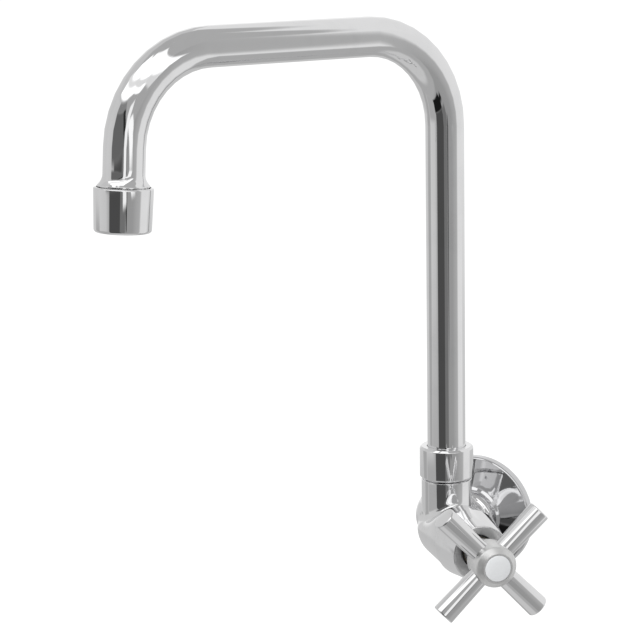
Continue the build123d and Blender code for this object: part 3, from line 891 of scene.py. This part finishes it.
def casting_distance(sizes):
    """Function for points' distance to the casting's surface, its ends run out past their faces."""
    neck = np.array(neck_foot)
    valve = np.array(valve_heading)
    ball = neck + np.array((-sizes.ball_left, sizes.ball_back, sizes.ball_rise))
    back = neck + valve * sizes.barrel_start
    outwards = np.array((0, -1, 0))
    barrel = sizes.barrel_d / 2

    def distance(point):
        aside = (point - neck) * (1, 1, 0)
        column = np.linalg.norm(aside, axis=-1) - sizes.neck_d / 2
        body = np.maximum(column, neck[2] - point[..., 2]), unit(aside)
        aside = point - ball
        around = np.linalg.norm(aside, axis=-1) - sizes.ball_d / 2
        body = joined(body, (around, unit(aside)), sizes.neck_blend)
        # The barrel, whose upper half is squashed where it leaves the neck.
        aside = point - back
        along = np.maximum(aside @ valve, 0)
        aside = aside - along[..., None] * valve
        share = np.minimum(along / (sizes.barrel_full - sizes.barrel_start), 1)
        top = sizes.barrel_root + (barrel - sizes.barrel_root) * share ** 2 * (3 - 2 * share)
        squash = np.ones_like(aside)
        squash[..., 2] = np.where(aside[..., 2] > 0, barrel / top, 1)
        spread = np.linalg.norm(aside * squash, axis=-1)
        way = aside * squash ** 2
        around = (spread - barrel) * spread / np.maximum(np.linalg.norm(way, axis=-1), TINY)
        body = joined(body, (around, unit(way)), sizes.barrel_blend)
        # The waist and the bead, round the inlet's axis.
        aside = point * (1, 0, 1)
        spread = np.linalg.norm(aside, axis=-1)
        waist = np.maximum(spread - sizes.waist_d / 2, neck[1] - point[..., 1])
        body = joined(body, (waist, unit(aside)), sizes.waist_blend)
        over = np.maximum(spread - sizes.bead_d / 2 + sizes.bead_rounding, 0)
        past = np.maximum(-point[..., 1] - sizes.bead_start + sizes.bead_rounding, 0)
        way = unit(unit(aside) * over[..., None] + outwards * past[..., None])
        return joined(body, (np.hypot(over, past) - sizes.bead_rounding, way), sizes.bead_blend)[0]

    return distance


class FAUCET_OT_casting(bpy.types.Operator):
    """Run the casting's neck, ball, barrel and inlet into each other, and machine its ends"""

    bl_idname = "faucet.casting"
    bl_label = "Casting"
    bl_options = UNDOABLE

    def execute(self, context):
        sizes = context.scene.faucet_casting
        distance = casting_distance(sizes)
        vertices, faces = surface_net(distance, CASTING_LOW, CASTING_HIGH, sizes.mesh_step)
        vertices = settle(vertices, distance, sizes.mesh_step)
        casting = mesh_piece("casting_polished", vertices, faces, Matrix.Identity(4))
        trimmed(casting, neck_foot + upwards * (sizes.neck_top - END_RING), upwards)
        trimmed(casting, neck_foot + valve_heading * (sizes.barrel_length - END_RING), valve_heading)
        trimmed(casting, -into_wall * TAIL_START, into_wall)
        finished(casting, "root", "chrome", "chrome on the casting", "valve_body")
        self.end_rings(sizes, context.scene.faucet_sleeve.seam_edge)
        self.threads(sizes)
        return {"FINISHED"}

    def end_rings(self, sizes, seam_edge):
        """The machined ends: the neck's shoulder and the barrel's face."""
        neck, barrel = sizes.neck_d / 2, sizes.barrel_d / 2
        ends = (
            ("neck_shoulder", on_neck(), sizes.neck_top, neck, sizes.neck_bore_d / 2, CRISP),
            ("barrel_face", on_valve(), sizes.barrel_length, barrel, barrel - BARREL_WALL, seam_edge),
        )
        for name, where, end, outer, inner, edge in ends:
            corners = [(inner, end - END_RING), (outer, end - END_RING), (outer, end, edge), (inner, end)]
            turned(name, corners, where, "root", "chrome", "chrome on the casting")

    def threads(self, sizes):
        """The threads on the neck and on the tail that goes into the wall."""
        start = sizes.neck_top
        neck = threaded(
            "neck_thread", on_neck(), sizes.neck_thread_d, NECK_PITCH, start,
            start + sizes.neck_thread_length, sizes.neck_bore_d, NECK_BORE_FLOOR,
        )
        finished(neck, "root", "chrome", "bright chrome")
        behind = place(Vector((0, 0, 0)), into_wall, sideways)
        tail = threaded(
            "inlet_thread", behind, sizes.tail_d, sizes.tail_pitch, -TAIL_START, sizes.tail_length,
            sizes.inlet_bore_d, INLET_BORE_FLOOR,
        )
        finished(tail, "root", "chrome", "chrome on the casting")


class FAUCET_OT_sleeve(bpy.types.Operator):
    """Turn the sleeve round the headwork, and a black ring in it: painted shadow round the hub's neck"""

    bl_idname = "faucet.sleeve"
    bl_label = "Sleeve"
    bl_options = UNDOABLE

    def execute(self, context):
        sizes = context.scene.faucet_sleeve
        barrel = context.scene.faucet_casting.barrel_length
        end = barrel + sizes.length
        mouth = sizes.mouth_d / 2
        bore = sizes.bore_d / 2
        hole = sizes.hole_d / 2
        floor = end - sizes.dish_depth
        back = floor - sizes.dish_wall
        corners = [
            (bore, barrel + sizes.seam),
            (sizes.back_d / 2, barrel + sizes.seam, sizes.seam_edge),
            (mouth, end, sizes.edge),
            (mouth - sizes.rim, end, sizes.dish_edge / 2),
            (hole, floor, sizes.dish_edge),
            (hole, back),
            (bore, back),
        ]
        finish = "root", "chrome", "chrome on the casting"
        turned("sleeve_turned", corners, on_valve(), *finish, "bonnet_sleeve")
        # A thin black rubber ring fills the hole behind the dished face: painted shadow in the gap round the hub's
        # neck.
        inner = context.scene.faucet_handle.hub_neck_d / 2 + sizes.shadow_ring_gap
        front = back + sizes.shadow_ring_height
        shadow_ring = [(inner, back), (hole, back), (hole, front), (inner, front)]
        turned("painted_shadow_ring", shadow_ring, on_valve(), "root", "rubber", "rubber of seals and the painted shadow ring")
        return {"FINISHED"}


class FAUCET_OT_handle(bpy.types.Operator):
    """Turn the hub, its button and the four arms"""

    bl_idname = "faucet.handle"
    bl_label = "Cross handle"
    bl_options = UNDOABLE

    def execute(self, context):
        sizes = context.scene.faucet_handle
        self.hub(sizes)
        self.button(sizes)
        arms = [name for name in sorted(frame["nodes"]) if name.startswith("handle_arm")]
        for number, node in enumerate(arms):
            self.arm(sizes, number, node)
        return {"FINISHED"}

    def hub(self, sizes):
        """The hub, from its neck's back face to the recess for the button."""
        cross = sizes.cross_place
        front = cross + sizes.hub_front
        recess = cross + sizes.hub_recess
        back = cross - sizes.hub_back
        neck, hub, button = sizes.hub_neck_d / 2, sizes.hub_d / 2, sizes.button_d / 2
        bore = 4 * MM
        back_edge, flare, bevel_edge, front_edge = 0.8 * MM, 4 * MM, 1.6 * MM, 0.4 * MM
        corners = [
            (bore, back),
            (neck, back, back_edge),
            (neck, cross - sizes.hub_taper_start, flare),
            (hub, cross - sizes.hub_taper_end, flare),
            (hub, front - sizes.hub_bevel, bevel_edge),
            (button + sizes.hub_lip, front, front_edge),
            (button, front),
            (button, recess),
            (bore, recess),
        ]
        finish = "handle", "satin_chrome", "satin chrome"
        turned("hub_turned", corners, on_valve(), *finish, "handle_hub", own_axes=True)

    def button(self, sizes):
        """The pale button, bare and slightly domed."""
        front = sizes.cross_place + sizes.hub_front
        radius = sizes.button_d / 2
        gap, dome, edge = 0.06 * MM, 6 * MM, 0.35 * MM
        middle_rise, shoulder_rise, edge_rise = (sizes.button_crown * part for part in (0.9, 0.75, 0.2))
        shoulder = radius * 0.55
        corners = [
            (0, front + middle_rise),
            (shoulder, front + shoulder_rise, dome),
            (radius - gap, front + edge_rise, edge),
            (radius - gap, sizes.cross_place + sizes.hub_recess),
        ]
        finish = "handle", "white_plastic", "index plastic"
        turned("button_cap", corners, on_valve(), *finish, "index_button", closed=False)

    def arm(self, sizes, number, node):
        """One tapered arm, from inside the hub to its crowned end."""
        hub_centre = neck_foot + valve_heading * sizes.cross_place
        angle = sizes.arm_start + number * pi / 2
        outwards = on_valve().to_3x3() @ Vector((cos(angle), sin(angle), 0))
        sunk = 2 * MM
        start = sizes.hub_d / 2 - sunk
        root, tip = sizes.arm_root_d / 2, sizes.arm_tip_d / 2
        reach = sizes.cross_radius
        corners = [
            (0, start),
            (root, start),
            (tip, reach - sizes.arm_tip_crown, sizes.arm_tip_edge),
            (0, reach),
        ]
        where = place(hub_centre, outwards, valve_heading)
        finish = "handle", "chrome", "bright chrome"
        turned(f"arm_turned_{number + 1}", corners, where, *finish, node, closed=False)


class FAUCET_OT_flange(bpy.types.Operator):
    """Spin the flange on the wall"""

    bl_idname = "faucet.flange"
    bl_label = "Wall flange"
    bl_options = UNDOABLE

    def execute(self, context):
        sizes = context.scene.faucet_flange
        rim = sizes.outer_d / 2
        sheet = sizes.sheet
        hole = sizes.hole_d / 2
        collar = sizes.collar_d / 2
        front = sizes.collar_front
        back = front - 4 * MM
        foot_edge, collar_edge, inner_edge = 1.2 * MM, 0.7 * MM, 1 * MM
        corners = [
            (rim, 0),
            (rim, sizes.rim, sizes.rim_rounding),
            (sizes.foot_d / 2, sizes.crown, foot_edge),
            (collar, front, collar_edge),
            (hole, front, CRISP),
            (hole, back),
            (collar - sheet, back),
            (rim - sheet, sizes.rim - sheet, inner_edge),
            (rim - sheet, 0),
        ]
        # The flange's darker chrome is painted shade.
        finish = "root", "chrome", "chrome on spun sheet"
        turned("flange_spun", corners, on_inlet(), *finish, "wall_flange", columns=192)
        return {"FINISHED"}


# Studio --------------------

# What stands round the faucet and is seen only in its metal. Headings are degrees to the right of the
# camera's own, and heights are degrees above the level. The wall is (heading, grey) all round. A card is
# (name, left and right edge, lower and upper edge, grey, softness of its edges, leans). Its left and
# right edges may lean: each then moves left by its lean for every degree of height.
WALL = (
    (-180, 1.0), (-166, 0.9), (-150, 0.66), (-110, 0.64), (-95, 0.66), (-64, 0.62), (-52, 0.45),
    (0, 0.33), (40, 0.35), (56, 0.42), (70, 0.46), (77, 0.8), (115, 0.82), (165, 0.82), (175, 0.95),
)
UPRIGHT = (0, 0)
CARDS = (
    ("ceiling", (-200, 200), (34, 90), 0.45, 6, UPRIGHT),
    ("left wall's top", (-200, -92), (32, 58), 0.6, 8, UPRIGHT),
    ("right wall's top", (46, 200), (30, 58), 0.82, 4, (-0.9, 0)),
    ("right wall's foot", (115, 200), (-50, -10), 0.6, 12, UPRIGHT),
    ("dim corner", (-122, -97), (-44, -6), 0.42, 7, UPRIGHT),
    ("left wall's foot", (-95, -50), (-44, -14), 0.44, 7, UPRIGHT),
    ("left wall's far foot", (-200, -118), (-48, -15), 0.57, 7, UPRIGHT),
    ("table", (-200, 200), (-90, -42), 0.44, 5, UPRIGHT),
    ("table's middle", (-200, 200), (-90, -60), 0.62, 10, UPRIGHT),
    ("softbox", (-92, 65), (35, 72), 1.35, 3, (0, 0.66)),
    ("softbox's top", (-62, 65), (68, 78), 1.2, 5, (0, 0.66)),
    ("softbox's leg", (12, 65), (11, 37), 1.3, 3, (0, 0.66)),
    ("wall under the leg", (-30, 62), (4, 35), 0.42, 4, (0, 1.4)),
    ("softbox's last strip", (86, 104), (26, 37), 1.3, 4, (2.75, 2.75)),
    ("softbox's fold", (-100, -18), (45, 51), 0.85, 4, UPRIGHT),
    ("fold's middle", (104, 122), (33, 49), 0.82, 6, (2.86, 2.86)),
    ("fold's end", (55, 64), (12, 34), 0.78, 3, (1.19, 1.19)),
    ("table's edge", (-12, 12), (-22, 1), 0.18, 4, UPRIGHT),
    ("screen's foot", (-50, -8), (-22, 1), 0.075, 3, UPRIGHT),
    ("screen", (-66, 13), (0, 26), 0.14, 3, (0, 1.28)),
    ("screen's top", (-66, 13), (25, 33), 0.25, 3, (0, 1.28)),
    ("screen's side", (3, 12), (5, 26), 0.024, 3, (1.28, 1.28)),
    ("screen's stand", (9, 17), (-13, 0), 0.03, 2, (0.5, 0.08)),
    ("black gap", (-52, -4), (-38, -22), 0.01, 3, UPRIGHT),
    ("black gap's end", (-6, 10), (-33, -27), 0.01, 4, UPRIGHT),
    ("window", (25, 40), (-5, 12), 1.1, 3, (1.67, 1.67)),
    ("bright strip", (1, 14), (-6, 24), 1.0, 3, (0.2, 0.2)),
)

SENSOR_WIDTH = 36                # millimetres, as bpy takes it
VIEW_END = 200                   # metres
LAMP_SIDES = (1.1, 0.8)          # metres
LAMP_POWER = 16.0
LAMP_TARGET = Vector((0, -0.1, 0.1))
LAMP_STAND = Vector((-0.35, -1.1, 1.25))    # from the target
FLOOR_GREY = 0.5
FLOOR_GLOW = 0.7                 # keeps the floor white where it is seen
ROUND_SIDES = 96                 # of the floor, and of half the surround


def grey_colour(grey):
    """A grey as a node takes it."""
    return (grey, grey, grey, 1)


def make_camera(studio):
    """Camera where the photograph's stood."""
    data = bpy.data.cameras.new("camera")
    data.lens = studio.lens
    data.sensor_width = SENSOR_WIDTH
    data.clip_end = VIEW_END
    heading = Matrix.Rotation(studio.camera_heading, 4, "Z")
    tilt = Matrix.Rotation(pi / 2 - studio.camera_height, 4, "X")
    roll = Matrix.Rotation(studio.camera_roll, 4, "Z")
    where = Matrix.Translation(studio.camera_place) @ heading @ tilt @ roll
    bpy.context.scene.camera = add_object("camera", data, where)


def seen(tree):
    """1 for rays from the camera, or that metal or glass has turned."""
    rays = add_node(tree, "LightPath")
    glossy = calculate(tree, "MAXIMUM", rays["Is Camera Ray"], rays["Is Glossy Ray"])
    return calculate(tree, "MAXIMUM", glossy, rays["Is Transmission Ray"])


def make_world(studio):
    """Even sky: white where it is seen, directly or in metal, and the sky's strength elsewhere."""
    world = bpy.data.worlds.new("studio")
    world.use_nodes = True
    tree = world.node_tree
    strength = between(tree, seen(tree), studio.sky, 1.0)
    feed(tree, tree.nodes["Background"], {"Color": grey_colour(1), "Strength": strength})
    bpy.context.scene.world = world


def make_lamp():
    """Softbox over the camera's left shoulder, for what isn't metal."""
    data = bpy.data.lights.new("softbox", "AREA")
    data.shape = "RECTANGLE"
    data.size, data.size_y = LAMP_SIDES
    data.energy = LAMP_POWER
    lamp = add_object("softbox", data, place(LAMP_TARGET + LAMP_STAND, LAMP_STAND, sideways))
    lamp.visible_glossy = False


def make_floor(studio):
    """Round pale floor that stays white and keeps a faint shadow."""
    radius = studio.floor_radius
    angles = [2 * pi * side / ROUND_SIDES for side in range(ROUND_SIDES)]
    rim = [(radius * cos(angle), radius * sin(angle), -studio.floor_drop) for angle in angles]
    floor = mesh_piece("floor", rim, [tuple(range(ROUND_SIDES))], Matrix.Identity(4))
    material, tree, shader = surface("pale floor")
    feed(tree, shader, {
        "Metallic": 0.0,
        "Base Color": grey_colour(FLOOR_GREY),
        "Roughness": 0.9,
        "Specular IOR Level": 0.0,
        "Emission Color": grey_colour(1),
        "Emission Strength": between(tree, seen(tree), 0.0, FLOOR_GLOW),
    })
    floor.data.materials.append(material)
    floor.visible_glossy = False
    floor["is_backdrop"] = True


def make_surround(studio):
    """Ball of grey wall, ceiling and cards all round, which only the metal sees."""
    low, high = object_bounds()
    where = Matrix.Translation((low + high) / 2)
    radius = studio.surround_radius
    angles = [pi * step / ROUND_SIDES for step in range(ROUND_SIDES + 1)]
    half = [(radius * sin(angle), -radius * cos(angle)) for angle in angles]
    shell = lathe("studio_surround", half, where, columns=2 * ROUND_SIDES, closed=False, own_axes=True)
    for ray in ("camera", "diffuse", "shadow", "transmission"):
        setattr(shell, "visible_" + ray, False)
    shell.data.materials.append(surround_material(studio))
    shell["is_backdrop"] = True


def surround_material(studio):
    """Glow of the wall, with each card laid over it."""
    material, tree, shader = surface("studio surround")
    tree.nodes.remove(shader)
    where = add_node(tree, "TexCoord")["Object"]
    parts = add_node(tree, "SeparateXYZ", {"Vector": where})
    angle = calculate(tree, "ARCTAN2", parts["X"], calculate(tree, "MULTIPLY", parts["Y"], -1.0))
    angle = calculate(tree, "SUBTRACT", angle, studio.camera_heading)
    heading = calculate(tree, "DEGREES", calculate(tree, "WRAP", angle, pi, -pi))
    sine = calculate(tree, "DIVIDE", parts["Z"], studio.surround_radius)
    height = calculate(tree, "DEGREES", calculate(tree, "ARCSINE", sine))
    glow = wall_glow(tree, heading)
    for name, headings, heights, grey, softness, leans in CARDS:
        leant = [calculate(tree, "ADD", heading, calculate(tree, "MULTIPLY", height, lean)) for lean in leans]
        across = inside(tree, leant, headings, softness)
        mask = calculate(tree, "MULTIPLY", across, inside(tree, (height, height), heights, softness))
        glow = mixed(tree, mask, glow, grey_colour(grey), name)
    emission = add_node(tree, "Emission", {"Color": glow})
    tree.links.new(emission["Emission"], tree.nodes["Material Output"].inputs["Surface"])
    return material


def wall_glow(tree, heading):
    """The wall's grey at a heading."""
    turn_share = calculate(tree, "ADD", calculate(tree, "DIVIDE", heading, 360), 0.5)
    ramp = tree.nodes.new("ShaderNodeValToRGB")
    stops = ramp.color_ramp.elements
    stops.remove(stops[-1])
    for index, (stop_heading, grey) in enumerate(WALL):
        position = (stop_heading + 180) / 360
        stop = stops[0] if index == 0 else stops.new(position)
        stop.position = position
        stop.color = grey_colour(grey)
    tree.links.new(turn_share, ramp.inputs["Fac"])
    return ramp.outputs["Color"]


def inside(tree, angles, span, softness):
    """1 between two edges, each on its own angle, falling to 0 over the softness at each."""
    sides = []
    for angle, edge, fade in zip(angles, span, (softness / 2, -softness / 2)):
        inputs = {"Value": angle, "From Min": edge - fade, "From Max": edge + fade}
        sides.append(add_node(tree, "MapRange", inputs, interpolation_type="SMOOTHSTEP")["Result"])
    return calculate(tree, "MULTIPLY", *sides)


class FAUCET_OT_studio(bpy.types.Operator):
    """Set up the camera, the light, the floor and the room that the metal reflects"""

    bl_idname = "faucet.studio"
    bl_label = "Studio"
    bl_options = UNDOABLE

    def execute(self, context):
        studio = context.scene.faucet_studio
        context.scene.view_settings.view_transform = "Standard"
        make_camera(studio)
        make_world(studio)
        make_lamp()
        make_floor(studio)
        make_surround(studio)
        return {"FINISHED"}


OPERATORS = (
    FAUCET_OT_finishes,
    FAUCET_OT_tube,
    FAUCET_OT_nut,
    FAUCET_OT_outlet,
    FAUCET_OT_casting,
    FAUCET_OT_sleeve,
    FAUCET_OT_handle,
    FAUCET_OT_flange,
    FAUCET_OT_studio,
)


class FAUCET_PT_pieces(bpy.types.Panel):
    """The faucet's sizes, finishes and operators"""

    bl_idname = "FAUCET_PT_pieces"
    bl_label = "Wall faucet"
    bl_space_type = "VIEW_3D"
    bl_region_type = "UI"
    bl_category = "Faucet"

    def draw(self, context):
        """List the sizes and the operators."""
        for attribute, group in GROUPS.items():
            box = self.layout.box()
            box.label(text=group.__doc__)
            for name in group.__annotations__:
                box.prop(getattr(context.scene, attribute), name)
        for operator in OPERATORS:
            self.layout.operator(operator.bl_idname)


def register():
    """Make the faucet's classes and sizes known to Blender."""
    for attribute, group in GROUPS.items():
        bpy.utils.register_class(group)
        setattr(bpy.types.Scene, attribute, bpy.props.PointerProperty(type=group))
    for operator in OPERATORS:
        bpy.utils.register_class(operator)
    bpy.utils.register_class(FAUCET_PT_pieces)


def unregister():
    """Take the classes and sizes out again."""
    bpy.utils.unregister_class(FAUCET_PT_pieces)
    for operator in reversed(OPERATORS):
        bpy.utils.unregister_class(operator)
    for attribute, group in reversed(GROUPS.items()):
        delattr(bpy.types.Scene, attribute)
        bpy.utils.unregister_class(group)


def main():
    """Build every piece and the studio."""
    register()
    for operator in OPERATORS:
        group, name = operator.bl_idname.split(".")
        getattr(getattr(bpy.ops, group), name)()


if __name__ == "__main__":
    main()
